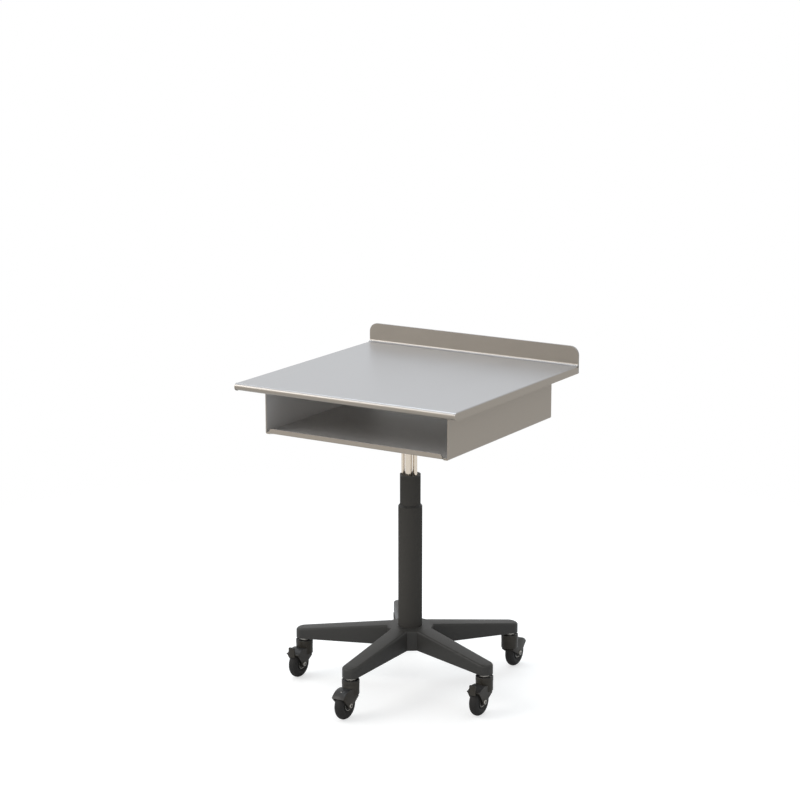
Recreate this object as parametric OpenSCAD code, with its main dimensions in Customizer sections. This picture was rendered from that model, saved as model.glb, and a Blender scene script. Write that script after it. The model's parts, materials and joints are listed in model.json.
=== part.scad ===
// Mobile laptop cart: a folded worktop over an open shelf, a telescopic column
// with a gas spring, and a five-arm base on swivel casters.
// The column axis stands at x = 0, the floor is z = 0 and the front is at -Y.

/* [Worktop] */
// Width of the worktop
top_w = 490; // [430:5:560]
// Depth of the worktop, from its rolled nose to the back of the rear panel
top_d = 492.4; // [460:0.4:540]
// Height of the worktop's upper face above the floor
top_h = 636; // [620:1:660]
// Distance of the worktop's middle behind the column axis
top_shift = -2.5; // [-12:0.1:12]
// Thickness of the folded sheet
sheet = 2; // [1.6:0.1:2.4]
// Outer radius of the rolled front edge
roll_r = 7; // [5.5:0.5:8]
// Depth of the turned-down side edges
flange_h = 15.5; // [15:0.5:19]
// Height of the rear upstand above the worktop
upstand_h = 39; // [28:1:60]
// Radius of the upstand's two upper corners
upstand_corner_r = 18; // [8:1:24]
// Thickness of the panel behind the upstand
back_t = 2.5; // [1.6:0.1:3.4]

/* [Shelf] */
// Distance of the shelf's side sheets inside the worktop's edges
shelf_inset = 40.2; // [30:0.2:60]
// Distance of the side sheets' front edges behind the worktop's nose
shelf_front_inset = 45.9; // [30:0.1:70]
// Distance of the side sheets' rear edges in front of the rear panel's back
shelf_rear_inset = 39.7; // [30:0.1:70]
// Height of the side sheets, under the worktop
shelf_h = 101.8; // [88:0.2:108]
// Width of the turned-in lower edges
low_flange = 20; // [16:1:28]
// Width of the turned-in upper edges
high_flange = 18; // [15:1:26]
// Slit between the shelf floor and each side sheet
floor_gap = 0.8; // [0.5:0.1:2]
// Height of the shelf floor's front and rear lips
lip_h = 10; // [9:0.5:18]
// Distance of the lips' ends inside the side sheets
lip_inset = 10.8; // [9:0.2:30]
// Distance that the lips stand out past the side sheets
lip_reach = 4.6; // [4:0.2:8]

/* [Column] */
// Outer radius of the outer tube
outer_r = 24; // [23.6:0.1:26]
// Wall of the outer tube
outer_wall = 2; // [1.4:0.1:2.2]
// Height from the outer tube's upper end to the shelf's side sheets
column_drop = 162.7; // [155:0.1:178]
// Height of the collar on the outer tube
collar_h = 3.9; // [3:0.1:6]
// Outer radius of the inner tube
inner_r = 20.6; // [20.4:0.1:21.2]
// Wall of the inner tube
inner_wall = 1.6; // [1.2:0.1:1.7]
// Length of the inner tube that shows above the collar
inner_reveal = 61.2; // [56:0.2:64]
// Radius of the gas spring's rod
gas_rod_r = 7; // [6:0.1:7.4]
// Radius of the gas spring's cylinder
gas_tube_r = 10; // [9.6:0.1:10.2]
// Radius of the guide rods
guide_r = 3.5; // [3:0.1:3.6]
// Distance of the guide rods from the column axis
guide_ring_r = 14.8; // [14.6:0.1:14.9]
// Distance of the gas spring in front of the column axis
gas_shift = 6; // [5.8:0.1:6.4]

/* [Base] */
// Distance of the caster stems from the column axis
stem_ring_r = 221; // [205:1:245]
// Half width of an arm where it leaves the hub
arm_root_w = 19.3; // [18.6:0.1:20]
// Half width of an arm at its caster
arm_tip_w = 16; // [15:0.1:17.5]
// Height of the hub's top above the floor
hub_top = 122.5; // [118:0.5:130]
// Height of the arms' upper face at the ends
tip_top = 98.5; // [97:0.5:104]
// Distance from the column axis to the hub's flats
hub_flat_r = 46.5; // [45:0.5:50]
// Radius of the rounded upper edges
edge_r = 4.5; // [3:0.5:5.5]
// Thickness of the base's walls
base_wall = 4; // [3:0.5:5]

/* [Casters] */
// Radius of the wheels
wheel_r = 29; // [28:0.5:29.5]
// Half width of the tyres
tyre_w = 9.5; // [8.5:0.1:9.9]
// Distance from a wheel's axle to its stem
trail = 21.2; // [20:0.2:23]
// Radius of the yoke's drum
drum_r = 17; // [16.4:0.2:19]
// Radius of the bearing cap above the drum
cap_r = 18; // [17:0.2:20]
// Radius of the stems
stem_r = 5; // [4.5:0.1:5.5]

/* [Clearances] */
// Radial clearance of a running fit
run_gap = 0.05; // [0.02:0.01:0.1]
// Clearance between pieces that pass each other
pass_gap = 0.3; // [0.2:0.05:0.4]

/* [Hidden] */
$fn = 96;
cut = 1;

// Worktop, from the outside in
nose_y = top_shift - top_d / 2;
rear_y = top_shift + top_d / 2;
upstand_y = rear_y - back_t;
top_under = top_h - sheet;
flange_z = top_h - flange_h;
upstand_z = top_h + upstand_h;
side_bend_r = sheet * 1.5;
rear_bend_r = sheet * 3.5;
roll_return = roll_r * 1.7;
stud_r = sheet;
stud_inset = high_flange * 0.55;

// Shelf
shelf_w = top_w - 2 * shelf_inset;
shelf_front = nose_y + shelf_front_inset;
shelf_rear = rear_y - shelf_rear_inset;
shelf_d = shelf_rear - shelf_front;
shelf_shift = (shelf_front + shelf_rear) / 2;
shelf_z = top_under - shelf_h;
floor_z = shelf_z + sheet;
floor_w = shelf_w - 2 * (sheet + floor_gap);
lip_w = shelf_w - 2 * lip_inset;
lip_bend_r = sheet * 1.5;
lip_corner_r = lip_h * 0.6;
flange_chamfer = low_flange * 0.3;
nut_h = 3.2;
nut_flat = 7;
nut_r = nut_flat / sqrt(3);
stud_gap = 0.25;
stud_over = 1.2;
stud_end = nut_h + stud_over;
top_stud_shares = [-0.42, 0, 0.42];
low_stud_shares = [-0.42, 0, 0.42];

// Mounting plate and rod block
plate_w = 150;
plate_t = 4;
plate_corner_r = 12;
plate_z = floor_z - plate_t;
big_stud_r = 3;
big_stud_ring = plate_w * 0.38;
big_nut_h = 5;
big_nut_flat = 10;
big_nut_r = big_nut_flat / sqrt(3);
block_w = 62;
block_d = 56;
block_h = 40;
block_corner_r = 9;
block_z = plate_z - block_h;
rod_seat_z = block_z + block_h * 0.35;
slot_w = 12;
block_screw_r = 2.5;
block_screw_head_r = 4.8;
block_screw_head_h = 2.4;
block_screw_len = 16;
block_screw_x = block_w * 0.38;
block_screw_y = block_d * 0.38;

// Gas spring's release
pin_r = 2;
pin_len = 13;
pin_stand = 7;
pin_top = rod_seat_z + pin_stand;
rod_head_h = 2;
lever_t = 8;
lever_w = 9;
lever_z = pin_top + pass_gap;
lever_pivot_x = 14;
lever_pivot_r = 3;
lever_pivot_z = lever_z + lever_t / 2;
lever_nose = 6;
paddle_x = 116;
paddle_len = 36;
paddle_w = 40;
paddle_t = 4;
paddle_corner_r = 10;
lever_pivot_grip = 10;
lever_pivot_len = slot_w + 2 * lever_pivot_grip;

// Column
tube_seat_z = 90;
collar_bevel = outer_r - inner_r - pass_gap;
collar_spigot = 30;
outer_top = shelf_z - column_drop;
collar_top = outer_top + collar_h;
inner_top = collar_top + inner_reveal;
cap_flange_h = 3;
cap_spigot_h = 9;
inner_tube_top = inner_top - cap_flange_h;
inner_bore_r = inner_r - inner_wall;
overlap_share = 399 / 559;
inner_bottom = outer_top - overlap_share * (outer_top - tube_seat_z);
foot_sleeve_h = 30;
foot_lip_h = 3;
outer_bore_r = outer_r - outer_wall;
guide_degs = [-15, 90, 195];
guide_share = 181 / 441;
guide_foot_z = inner_top - guide_share * (inner_top - inner_bottom);
guide_foot_h = 10;

// Hub and gas spring's cylinder
hub_floor_t = 6;
hub_boss_wall = 6;
hub_boss_r = outer_r + hub_boss_wall;
plug_h = 10;
plug_recess = 2;
gas_bottom = tube_seat_z + plug_h - plug_recess;
gas_stand = 10.5;
gas_top = outer_top + gas_stand;
gas_end = 3;
gas_guide_h = 8;
gas_wall = 1.2;
gas_bore_r = gas_tube_r - gas_wall;
piston_share = 14 / 47;
piston_z = gas_bottom + piston_share * (gas_top - gas_bottom);
piston_h = 12;
bolt_r = 4;
bolt_flat = 13;
bolt_head_h = 5.3;

// Base arms
first_arm_deg = 54;
arm_step = 72;
arm_order = [2, 3, 4, 0, 1];
arm_degs = [for (i = arm_order) first_arm_deg + arm_step * i];
slope_lead = 0.5;
slope_start = hub_flat_r - slope_lead;
arm_start = hub_boss_r + base_wall / 2;
arm_end = stem_ring_r + arm_tip_w;
slope_run = arm_end - slope_start;
slope_deg = atan((hub_top - tip_top) / slope_run);
slope_tan = (hub_top - tip_top) / slope_run;
hub_under = 82;
tip_under = 79;
boss_wall = 7;
boss_r = stem_r + boss_wall;
rib_t = 3;
rib_shares = [0.32, 0.55, 0.78];
rib_drop = 8;
corner_drop = edge_r / 3;
edge_steps = 6;
hull_fn = 32;
stem_top = 95;

// Casters
swivel_degs = [270, 270, 270, 90, 270];
drum_z = 46;
drum_top = 66;
drum_web_z = 57.5;
drum_wall = 2.5;
tyre_side_gap = 1.5;
leg_in = tyre_w + tyre_side_gap;
leg_t = 2.5;
leg_out = leg_in + leg_t;
drum_side_x = sqrt(drum_r * drum_r - leg_out * leg_out);
hood_gap = 1;
hood_t = 1.5;
hood_r = wheel_r + hood_gap + hood_t;
hood_deg = 36;
leg_rear_deg = 215;
leg_front_deg = 80;
brake_leg_deg = 46;
brake_hood_deg = 54;
axle_boss_r = 7;
axle_r = 3;
axle_nut_h = 3;
axle_nut_flat = 10;
axle_nut_r = axle_nut_flat / sqrt(3);
axle_recess = 1;
cap_top = 76;
cap_edge_r = 4;
washer_r = 8;
rivet_r = 6.5;
rivet_h = 2.1;
tyre_ring_r = wheel_r - tyre_w;
core_r = wheel_r * 0.45;
core_face_r = 9;
core_side = sqrt(tyre_w * tyre_w - (tyre_ring_r - core_r) * (tyre_ring_r - core_r));
bearing_r = 7;
bearing_sink = 1.5;
bearing_in = tyre_w - bearing_sink;
bearing_out = leg_in - pass_gap;
pedal_stand = 4;
pedal_ring_r = wheel_r + pedal_stand;
pedal_deg = 47;
pedal_x = trail + pedal_ring_r * cos(pedal_deg);
pedal_z = wheel_r + pedal_ring_r * sin(pedal_deg);
pedal_barrel_r = 2.6;
pedal_pin_r = 1.8;
pedal_ear_r = 3.6;
tab_lead = 1;
tab_x = pedal_x + tab_lead;
tab_t = 3;
tab_drop = 5;
tab_z = pedal_z - tab_drop;
tab_h = 20;
tab_w = 14;
tab_lip_h = 3.5;

// The part's origin lies on the floor under the middle of its outer box
front_reach = stem_ring_r + trail + wheel_r;
axis_y = (front_reach - rear_y) / 2;

// Shared shapes

// Everything is drawn about the column axis and stands at axis_y
module on_axis() {
    translate([0, axis_y, 0]) children();
}

// A profile in y and z, drawn along x over a centred width
module across(w) {
    translate([-w / 2, 0, 0]) rotate([90, 0, 90]) linear_extrude(w) children();
}

// A profile in x and z, drawn along y from y0 to y1
module along(y0, y1) {
    translate([0, y1, 0]) rotate([90, 0, 0]) linear_extrude(y1 - y0) children();
}

// A quarter ring about the origin, in the quadrant of the signs sx and sy
module bend(r, t, sx, sy) {
    intersection() {
        difference() {
            circle(r);
            circle(r - t);
        }
        translate([sx < 0 ? -r : 0, sy < 0 ? -r : 0]) square(r);
    }
}

// A rectangle from the origin's middle bottom, with its two upper corners rounded
module tab_shape(w, h, r) {
    translate([-w / 2, 0]) square([w, h - r]);
    translate([r - w / 2, 0]) square([w - 2 * r, h]);
    for (s = [-1, 1]) translate([s * (w / 2 - r), h - r]) circle(r);
}

// A centred rectangle with four rounded corners
module round_rect(w, d, r) {
    square([w - 2 * r, d], center = true);
    square([w, d - 2 * r], center = true);
    for (sx = [-1, 1]) for (sy = [-1, 1]) {
        translate([sx * (w / 2 - r), sy * (d / 2 - r)]) circle(r);
    }
}

// A hexagonal nut standing on the origin
module hex_nut(r, h, bore) {
    difference() {
        cylinder(h = h, r = r, $fn = 6);
        translate([0, 0, -cut]) cylinder(h = h + 2 * cut, r = bore);
    }
}

// Places along the shelf's sides where its studs stand
module at_side_studs(shares, inset) {
    for (s = [-1, 1]) for (share = shares) {
        translate([s * (shelf_w / 2 - inset), shelf_shift + share * shelf_d, 0]) children();
    }
}

// Places of the four studs that carry the mounting plate
module at_plate_studs() {
    for (sx = [-1, 1]) for (sy = [-1, 1]) {
        translate([sx * big_stud_ring, sy * big_stud_ring, 0]) children();
    }
}

module at_guides() {
    for (a = guide_degs) rotate([0, 0, a]) translate([guide_ring_r, 0, 0]) children();
}

// Worktop

module worktop_outline() {
    roll_c = [nose_y + roll_r, top_h - roll_r];
    translate(roll_c) {
        bend(roll_r, sheet, -1, 1);
        bend(roll_r, sheet, -1, -1);
    }
    translate([roll_c[0], top_h - 2 * roll_r]) square([roll_return, sheet]);
}

module upstand_outline() {
    translate([upstand_y - rear_bend_r, top_under + rear_bend_r]) bend(rear_bend_r, sheet, 1, -1);
    translate([upstand_y - sheet, top_under + rear_bend_r])
        square([sheet, upstand_z - top_under - rear_bend_r]);
}

// Side edge with a round front end, open above where the sheet bends into it
module side_edge_outline() {
    r = flange_h / 2;
    difference() {
        union() {
            translate([nose_y + r, flange_z + r]) circle(r);
            translate([nose_y + r, flange_z]) square([upstand_y - nose_y - r, flange_h]);
        }
        translate([nose_y + r, top_h - side_bend_r])
            square([upstand_y - nose_y - r + cut, side_bend_r + cut]);
    }
}

module worktop() {
    flat_from = nose_y + roll_r;
    flat_to = upstand_y - rear_bend_r;
    bend_from = nose_y + flange_h / 2;
    color("#9a968f") on_axis() {
        across(top_w - 2 * sheet) worktop_outline();
        across(top_w - 2 * side_bend_r) translate([flat_from, top_under])
            square([flat_to - flat_from, sheet]);
        across(top_w - 2 * sheet) translate([flat_from, top_under])
            square([bend_from - flat_from, sheet]);
        intersection() {
            across(top_w) upstand_outline();
            along(flat_to - cut, upstand_y + cut) translate([0, top_under])
                tab_shape(top_w, upstand_z - top_under, upstand_corner_r);
        }
        for (s = [-1, 1]) {
            along(bend_from, flat_to) translate([s * (top_w / 2 - side_bend_r), top_h - side_bend_r])
                bend(side_bend_r, sheet, s, 1);
            translate([s * (top_w / 2 - sheet / 2), 0, 0]) across(sheet) side_edge_outline();
        }
        at_side_studs(top_stud_shares, stud_inset)
            translate([0, 0, top_under - sheet - stud_end])
                cylinder(h = sheet + stud_end, r = stud_r);
    }
}

module back_panel() {
    color("#8b867e") on_axis() along(upstand_y, rear_y) translate([0, flange_z])
        tab_shape(top_w, upstand_z - flange_z, upstand_corner_r);
}

// Shelf

module side_sheet_outline() {
    web_x = shelf_w / 2;
    c = web_x - side_bend_r;
    translate([web_x - sheet, shelf_z + side_bend_r])
        square([sheet, shelf_h - 2 * side_bend_r]);
    translate([c, shelf_z + side_bend_r]) bend(side_bend_r, sheet, 1, -1);
    translate([c, top_under - side_bend_r]) bend(side_bend_r, sheet, 1, 1);
    translate([web_x - low_flange, shelf_z]) square([low_flange - side_bend_r, sheet]);
    translate([web_x - high_flange, top_under - sheet])
        square([high_flange - side_bend_r, sheet]);
}

// The turned-in edges end in a cut corner, front and rear
module flange_corner(y) {
    translate([shelf_w / 2 - high_flange, y, shelf_z - cut]) rotate([0, 0, 45])
        translate([-flange_chamfer, -flange_chamfer, 0])
            cube([2 * flange_chamfer, 2 * flange_chamfer, shelf_h + 2 * cut]);
}

module shelf_side(s) {
    color("#8f887e") on_axis() mirror([s < 0 ? 1 : 0, 0, 0]) difference() {
        along(shelf_front, shelf_rear) side_sheet_outline();
        flange_corner(shelf_front);
        flange_corner(shelf_rear);
        at_side_studs(top_stud_shares, stud_inset)
            translate([0, 0, top_under - 2 * sheet]) cylinder(h = 3 * sheet, r = stud_r + stud_gap);
        at_side_studs(low_stud_shares, stud_inset)
            translate([0, 0, shelf_z - cut]) cylinder(h = sheet + 2 * cut, r = stud_r + stud_gap);
    }
}

module lip_outline(s) {
    front = shelf_d / 2 + lip_reach;
    square([front - lip_bend_r, sheet]);
    translate([front - lip_bend_r, lip_bend_r]) bend(lip_bend_r, sheet, 1, -1);
    translate([front - sheet, lip_bend_r]) square([sheet, lip_h - lip_bend_r]);
}

module shelf_floor() {
    color("#77767a") on_axis() {
        translate([-floor_w / 2, shelf_front, floor_z]) cube([floor_w, shelf_d, sheet]);
        for (a = [0, 180]) translate([0, shelf_shift, floor_z]) rotate([0, 0, a]) intersection() {
            across(lip_w) lip_outline();
            along(0, shelf_d) tab_shape(lip_w, lip_h, lip_corner_r);
        }
        at_side_studs(low_stud_shares, stud_inset)
            translate([0, 0, shelf_z - stud_end]) cylinder(h = sheet + stud_end, r = stud_r);
        at_plate_studs() translate([0, 0, plate_z - big_nut_h - sheet])
            cylinder(h = plate_t + big_nut_h + sheet, r = big_stud_r);
    }
}

module shelf_nuts() {
    color("#b9b7b0") on_axis() {
        at_side_studs(top_stud_shares, stud_inset)
            translate([0, 0, top_under - sheet - nut_h]) hex_nut(nut_r, nut_h, stud_r);
        at_side_studs(low_stud_shares, stud_inset)
            translate([0, 0, shelf_z - nut_h]) hex_nut(nut_r, nut_h, stud_r);
    }
}

// Mounting plate and rod block

module at_block_screws() {
    for (sx = [-1, 1]) for (sy = [-1, 1]) {
        translate([sx * block_screw_x, sy * block_screw_y, 0]) children();
    }
}

module mount_plate() {
    color("#3c3b39") on_axis() difference() {
        translate([0, 0, plate_z]) linear_extrude(plate_t)
            round_rect(plate_w, plate_w, plate_corner_r);
        at_plate_studs() translate([0, 0, plate_z - cut])
            cylinder(h = plate_t + 2 * cut, r = big_stud_r + stud_gap);
        at_block_screws() {
            translate([0, 0, plate_z - cut]) cylinder(h = plate_t + 2 * cut, r = block_screw_r);
            translate([0, 0, floor_z - block_screw_head_h])
                cylinder(h = block_screw_head_h, r1 = block_screw_r, r2 = block_screw_head_r);
        }
    }
}

module mount_nuts() {
    color("#b9b7b0") on_axis() at_plate_studs() translate([0, 0, plate_z - big_nut_h])
        hex_nut(big_nut_r, big_nut_h, big_stud_r);
}

module rod_block() {
    color("#45433f") on_axis() difference() {
        translate([0, 0, block_z]) linear_extrude(block_h)
            round_rect(block_w, block_d, block_corner_r);
        translate([0, -gas_shift, block_z - cut])
            cylinder(h = rod_seat_z - block_z + 2 * cut, r = gas_rod_r);
        at_guides() translate([0, 0, block_z - cut])
            cylinder(h = rod_seat_z - block_z + cut, r = guide_r);
        translate([-gas_rod_r - cut, -gas_shift - slot_w / 2, rod_seat_z])
            cube([block_w, slot_w, block_h]);
        translate([0, -gas_shift, rod_seat_z]) cylinder(h = block_h, r = gas_rod_r + cut);
        translate([lever_pivot_x, -gas_shift, lever_pivot_z]) rotate([90, 0, 0])
            cylinder(h = lever_pivot_len, r = lever_pivot_r, center = true);
        at_block_screws() translate([0, 0, floor_z - block_screw_len])
            cylinder(h = block_screw_len, r = block_screw_r);
    }
}

module block_screws() {
    color("#a8a69f") on_axis() at_block_screws() {
        translate([0, 0, floor_z - block_screw_len])
            cylinder(h = block_screw_len - block_screw_head_h, r = block_screw_r);
        translate([0, 0, floor_z - block_screw_head_h])
            cylinder(h = block_screw_head_h, r1 = block_screw_r, r2 = block_screw_head_r);
    }
}

module lever_pivot() {
    color("#b9b7b0") on_axis() translate([lever_pivot_x, -gas_shift, lever_pivot_z])
        rotate([90, 0, 0]) cylinder(h = lever_pivot_len, r = lever_pivot_r, center = true);
}

// The lever's nose rests over the release pin, its paddle hangs under the shelf
module release_lever() {
    color("#2f2f2e") on_axis() difference() {
        translate([0, -gas_shift, lever_z]) {
            translate([-lever_nose / 2, -lever_w / 2, 0]) cube([paddle_x + lever_nose, lever_w, lever_t]);
            translate([-lever_nose / 2, 0, 0]) cylinder(h = lever_t, r = lever_w / 2);
            translate([paddle_x + paddle_len / 2, 0, 0]) linear_extrude(paddle_t)
                round_rect(paddle_len, paddle_w, paddle_corner_r);
        }
        translate([lever_pivot_x, -gas_shift, lever_pivot_z]) rotate([90, 0, 0])
            cylinder(h = slot_w + 2 * cut, r = lever_pivot_r + run_gap, center = true);
    }
}

// Gas spring and guide rods

module gas_rod() {
    color("#cbbfae") on_axis() translate([0, -gas_shift, 0]) difference() {
        union() {
            translate([0, 0, piston_z]) cylinder(h = rod_seat_z + rod_head_h - piston_z, r = gas_rod_r);
            translate([0, 0, piston_z]) cylinder(h = piston_h, r = gas_bore_r - run_gap);
        }
        translate([0, 0, pin_top - pin_len - pin_r])
            cylinder(h = pin_len + pin_r, r = pin_r + run_gap);
    }
}

module release_pin() {
    color("#c9c7c0") on_axis() translate([0, -gas_shift, pin_top - pin_len])
        cylinder(h = pin_len, r = pin_r);
}

module guide_rods() {
    color("#cbbfae") on_axis() at_guides() translate([0, 0, guide_foot_z])
        cylinder(h = rod_seat_z - guide_foot_z, r = guide_r);
}

module rod_foot() {
    color("#5a5955") on_axis() difference() {
        translate([0, 0, guide_foot_z]) cylinder(h = guide_foot_h, r = inner_bore_r - run_gap);
        at_guides() translate([0, 0, guide_foot_z - cut])
            cylinder(h = guide_foot_h + 2 * cut, r = guide_r);
        translate([0, -gas_shift, guide_foot_z - cut])
            cylinder(h = guide_foot_h + 2 * cut, r = gas_tube_r + pass_gap);
    }
}

module gas_cylinder() {
    color("#2b2b2a") on_axis() translate([0, -gas_shift, 0]) difference() {
        translate([0, 0, gas_bottom]) cylinder(h = gas_top - gas_bottom, r = gas_tube_r);
        translate([0, 0, gas_bottom + gas_end])
            cylinder(h = gas_top - gas_guide_h - gas_bottom - gas_end, r = gas_bore_r);
        translate([0, 0, gas_top - gas_guide_h - cut])
            cylinder(h = gas_guide_h + 2 * cut, r = gas_rod_r + run_gap);
    }
}

// Column tubes

module inner_tube() {
    color("#3a3a38") on_axis() difference() {
        translate([0, 0, inner_bottom]) cylinder(h = inner_tube_top - inner_bottom, r = inner_r);
        translate([0, 0, inner_bottom - cut])
            cylinder(h = inner_tube_top - inner_bottom + 2 * cut, r = inner_bore_r);
    }
}

module inner_cap() {
    color("#33332f") on_axis() difference() {
        union() {
            translate([0, 0, inner_tube_top]) cylinder(h = cap_flange_h, r = inner_r);
            translate([0, 0, inner_tube_top - cap_spigot_h])
                cylinder(h = cap_spigot_h + cap_flange_h, r = inner_bore_r);
        }
        translate([0, 0, inner_tube_top - cap_spigot_h - cut]) {
            translate([0, -gas_shift, 0])
                cylinder(h = cap_spigot_h + cap_flange_h + 2 * cut, r = gas_rod_r + run_gap);
            at_guides() cylinder(h = cap_spigot_h + cap_flange_h + 2 * cut, r = guide_r + run_gap);
        }
    }
}

module inner_foot() {
    color("#4d4c48") on_axis() difference() {
        translate([0, 0, inner_bottom - foot_lip_h])
            cylinder(h = foot_lip_h + foot_sleeve_h, r = outer_bore_r - run_gap);
        translate([0, 0, inner_bottom]) cylinder(h = foot_sleeve_h + cut, r = inner_r);
        translate([0, 0, inner_bottom - foot_lip_h - cut])
            cylinder(h = foot_lip_h + 2 * cut, r = inner_bore_r);
    }
}

module outer_tube() {
    color("#3a3a38") on_axis() difference() {
        translate([0, 0, tube_seat_z]) cylinder(h = outer_top - tube_seat_z, r = outer_r);
        translate([0, 0, tube_seat_z - cut])
            cylinder(h = outer_top - tube_seat_z + 2 * cut, r = outer_bore_r);
    }
}

module outer_collar() {
    color("#2e2e2c") on_axis() difference() {
        union() {
            translate([0, 0, outer_top])
                cylinder(h = collar_h, r1 = outer_r, r2 = outer_r - collar_bevel);
            translate([0, 0, outer_top - collar_spigot])
                cylinder(h = collar_spigot + collar_h / 2, r = outer_bore_r);
        }
        translate([0, 0, outer_top - collar_spigot - cut])
            cylinder(h = collar_spigot + collar_h + 2 * cut, r = inner_r + run_gap);
    }
}

// Base

// An arm: a level root with rounded upper edges, tapering down to a round end
module arm_outer() {
    tip_z = hub_top - (stem_ring_r - slope_start) * slope_tan;
    hull() {
        translate([arm_start, 0, hub_under]) rotate([90, 0, 90])
            linear_extrude(slope_start - arm_start)
                tab_shape(2 * arm_root_w, hub_top - hub_under, edge_r, $fn = hull_fn);
        translate([stem_ring_r, 0, tip_under]) cylinder(h = base_wall, r = arm_tip_w, $fn = hull_fn);
        translate([stem_ring_r, 0, tip_z]) rotate([0, slope_deg, 0]) translate([0, 0, -edge_r])
            rotate_extrude($fn = hull_fn) translate([arm_tip_w - edge_r, 0]) intersection() {
                circle(edge_r, $fn = hull_fn);
                square(edge_r);
            }
    }
}

module arm_cavity() {
    from = slope_start;
    to = stem_ring_r;
    w0 = arm_root_w - base_wall;
    w1 = arm_tip_w - base_wall;
    difference() {
        intersection() {
            translate([0, 0, -cut]) linear_extrude(hub_top)
                polygon([[from, -w0], [to, -w1], [to, w1], [from, w0]]);
            along(-arm_root_w, arm_root_w) polygon([
                [0, 0], [arm_end, 0], [arm_end, tip_top - base_wall],
                [slope_start, hub_top - base_wall], [0, hub_top - base_wall]
            ]);
        }
        translate([to, 0, 0]) cylinder(h = hub_top, r = boss_r);
        translate([from, -rib_t / 2, hub_under + rib_drop])
            cube([to - from, rib_t, hub_top]);
        for (share = rib_shares) translate([share * to - rib_t / 2, -arm_root_w, hub_under + rib_drop])
            cube([rib_t, 2 * arm_root_w, hub_top]);
    }
}

// Five-sided hub whose upper edge is rounded in steps
module hub_outer() {
    flat_to_corner = 1 / cos(180 / 5);
    rotate([0, 0, first_arm_deg]) hull() {
        translate([0, 0, hub_under]) cylinder(h = base_wall, r = hub_flat_r * flat_to_corner, $fn = 5);
        for (a = [0:90 / edge_steps:90]) {
            lift = edge_r * (1 - sin(a));
            translate([0, 0, hub_top - lift - corner_drop])
                cylinder(h = corner_drop, r = (hub_flat_r - edge_r * (1 - cos(a))) * flat_to_corner, $fn = 5);
        }
    }
}

// The hub's corners are cut back to lie inside the arms
module slope_cut() {
    along(-arm_root_w, arm_root_w) polygon([
        [slope_start, hub_top - corner_drop], [arm_end, tip_top - corner_drop],
        [arm_end, hub_top + cut], [slope_start, hub_top + cut]
    ]);
}

// Hub with the seat of the column tube and the recess of its bolt
module hub() {
    difference() {
        hub_outer();
        for (a = arm_degs) rotate([0, 0, a]) slope_cut();
        translate([0, 0, tube_seat_z]) cylinder(h = hub_top, r = outer_r);
        cylinder(h = hub_top, r = bolt_r + stud_gap);
        cylinder(h = tube_seat_z - hub_floor_t, r = hub_boss_r - base_wall);
    }
}

// One arm with its ribbed underside and the boss of its caster's stem
module arm() {
    difference() {
        arm_outer();
        arm_cavity();
        translate([stem_ring_r, 0, 0]) cylinder(h = stem_top, r = stem_r);
    }
}

module base_star() {
    color("#37373a") {
        on_axis() hub();
        for (i = [0:4]) on_axis() rotate([0, 0, first_arm_deg + arm_step * i]) arm();
    }
}

module tube_plug() {
    color("#5a5955") on_axis() difference() {
        translate([0, 0, tube_seat_z]) cylinder(h = plug_h, r = outer_bore_r);
        translate([0, -gas_shift, gas_bottom]) cylinder(h = plug_h, r = gas_tube_r);
        translate([0, 0, tube_seat_z - cut])
            cylinder(h = plug_h - plug_recess, r = bolt_r);
    }
}

module column_bolt() {
    color("#b9b7b0") on_axis() {
        translate([0, 0, tube_seat_z - hub_floor_t - bolt_head_h])
            cylinder(h = bolt_head_h, r = bolt_flat / sqrt(3), $fn = 6);
        translate([0, 0, tube_seat_z - hub_floor_t])
            cylinder(h = hub_floor_t + plug_h - plug_recess - cut, r = bolt_r);
    }
}

// Casters, drawn with the stem at the origin and the wheel trailing towards +X

module at_caster(i) {
    on_axis() rotate([0, 0, arm_degs[i]]) translate([stem_ring_r, 0, 0])
        rotate([0, 0, swivel_degs[i] - arm_degs[i]]) children();
}

module caster_stems() {
    color("#b4b0a6") for (i = [0:4]) at_caster(i) {
        translate([0, 0, drum_web_z - pass_gap - rivet_h]) cylinder(h = rivet_h, r = rivet_r);
        translate([0, 0, drum_web_z - pass_gap])
            cylinder(h = stem_top - drum_web_z + pass_gap, r = stem_r);
        translate([0, 0, cap_top + pass_gap])
            cylinder(h = tip_under - cap_top - pass_gap, r = washer_r);
    }
}

function on_ring(r, a) = [trail + r * cos(a), wheel_r + r * sin(a)];

// Side of the yoke: the mudguard's arc, and legs that narrow to the axle's boss
module yoke_outline(end_deg, foot_deg) {
    front = drum_side_x - run_gap - leg_t / 3;
    inner = axle_boss_r * 0.8;
    tip = on_ring(hood_r, end_deg);
    foot = on_ring(inner, foot_deg);
    translate([trail, wheel_r]) circle(axle_boss_r);
    polygon([
        [-front, drum_z], on_ring(inner, leg_rear_deg), on_ring(inner, leg_front_deg),
        [front, drum_z + edge_r], [front, drum_top - edge_r], [-front, drum_top - edge_r]
    ]);
    intersection() {
        translate([trail, wheel_r]) circle(hood_r);
        polygon([
            foot, foot + 1.2 * (tip - foot), on_ring(2 * hood_r, 90),
            [-front / 2, wheel_r + 2 * hood_r], [-front / 2, drum_z + edge_r],
            on_ring(inner, 180)
        ]);
    }
}

// Ear on each leg that holds the brake pedal's pin
module ear_outline() {
    translate([pedal_x, pedal_z]) circle(pedal_ear_r);
    translate([pedal_x, pedal_z]) rotate(pedal_deg)
        translate([-hood_r / 3, -pedal_ear_r * 0.7]) square([hood_r / 3, 1.4 * pedal_ear_r]);
}

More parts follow.
